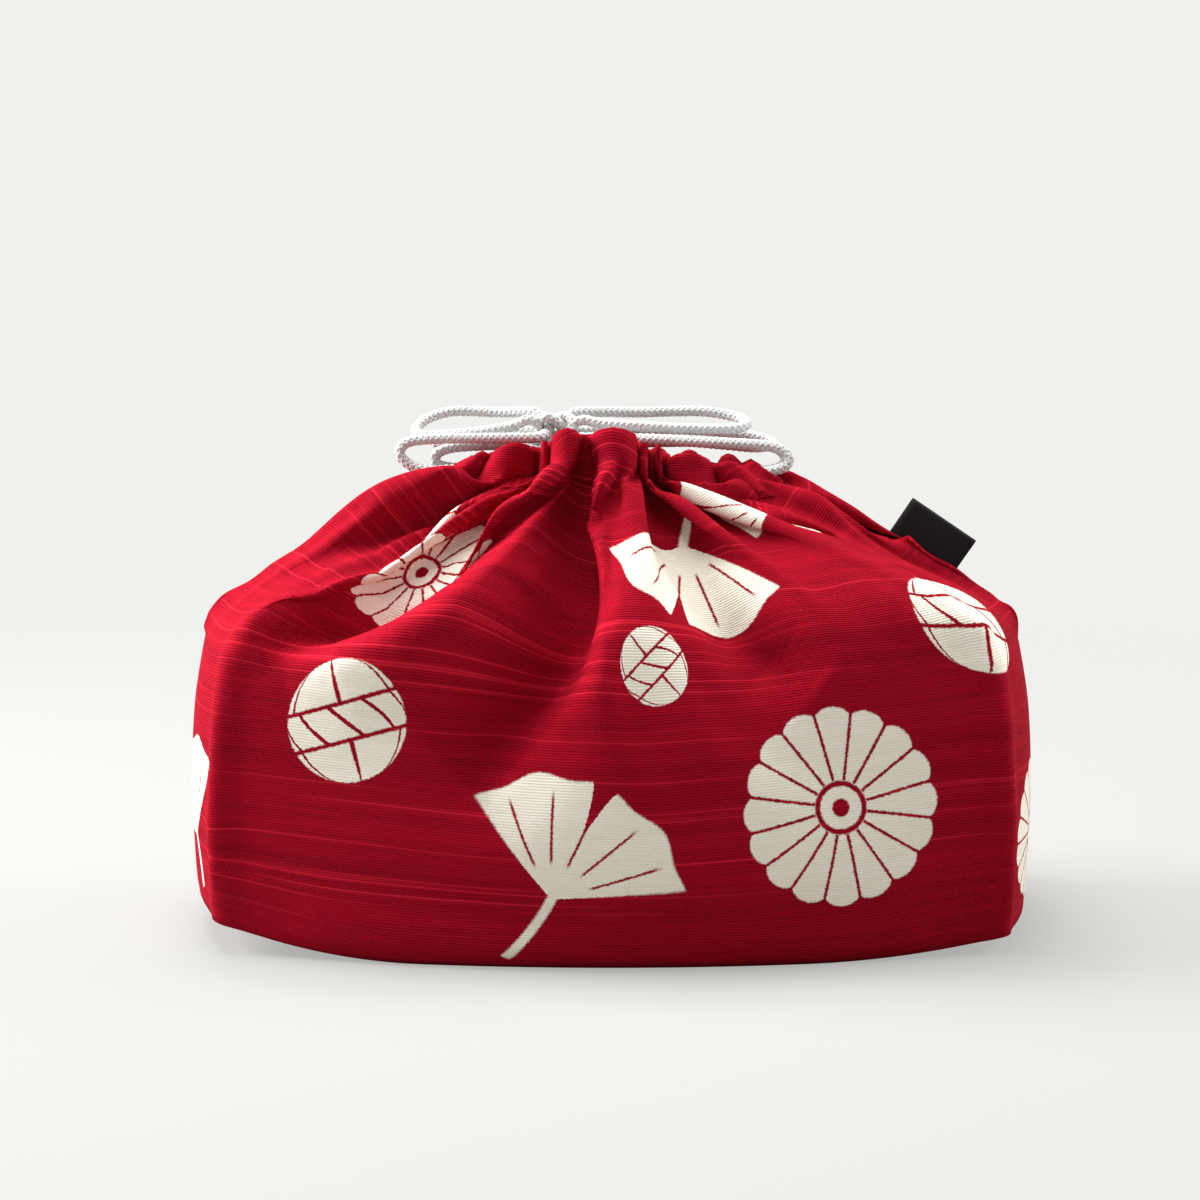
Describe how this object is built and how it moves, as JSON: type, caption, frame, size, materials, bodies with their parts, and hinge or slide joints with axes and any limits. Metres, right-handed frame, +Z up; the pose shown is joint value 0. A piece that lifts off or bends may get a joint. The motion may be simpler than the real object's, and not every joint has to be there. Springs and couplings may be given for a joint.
{
  "type": "drawstring lunch bag",
  "caption": "Crimson cotton drawstring lunch bag tied shut with a white cord bow, flat oval base, gathered mouth, small bare woven tag.",
  "frame": {"origin": "on the table under the middle of the bag", "axes": "+X along the bag's length to the right seen from the front, +Y to the back, +Z up"},
  "size_m": [0.235, 0.134, 0.1438],
  "materials": {
    "crimson_cotton": "matt ribbed cotton weave",
    "white_cord": "matt round braid",
    "black_ribbon": "soft satin weave"
  },
  "bodies": {
    "bag": {"front_panel": "crimson_cotton", "back_panel": "crimson_cotton", "base_panel": "crimson_cotton", "back_lip": "crimson_cotton", "left_cord_back_run": "white_cord", "right_cord_back_run": "white_cord", "left_strand_front": "white_cord", "left_strand_back": "white_cord", "right_strand_front": "white_cord", "right_strand_back": "white_cord", "bow_knot": "white_cord", "left_tail": "white_cord", "right_tail": "white_cord"},
    "front_lip": {"front_lip": "crimson_cotton", "left_cord_front_run": "white_cord", "right_cord_front_run": "white_cord"},
    "left_loop": {"left_loop_upper": "white_cord", "left_loop_lower": "white_cord"},
    "right_loop": {"right_loop_upper": "white_cord", "right_loop_lower": "white_cord"},
    "tag": {"tag": "black_ribbon"}
  },
  "joints": [
    {"name": "front_lip_hinge", "type": "hinge", "parent": "bag", "child": "front_lip", "pos_m": [0, -0.0165, 0.1185], "axis": [1, 0, 0], "range_deg": [0, 40]},
    {"name": "left_loop_hinge", "type": "hinge", "parent": "bag", "child": "left_loop", "pos_m": [-0.0157, 0.009, 0.13793], "axis": [0, 1, 0], "range_deg": [0, 35]},
    {"name": "right_loop_hinge", "type": "hinge", "parent": "bag", "child": "right_loop", "pos_m": [-0.0157, 0.009, 0.13793], "axis": [0, -1, 0], "range_deg": [0, 35]},
    {"name": "tag_fold", "type": "hinge", "parent": "bag", "child": "tag", "pos_m": [0.09308, 0, 0.10114], "axis": [0.8728, 0, -0.4881], "range_deg": [-45, 45], "stiffness_Nm_per_rad": 0.0003}
  ]
}
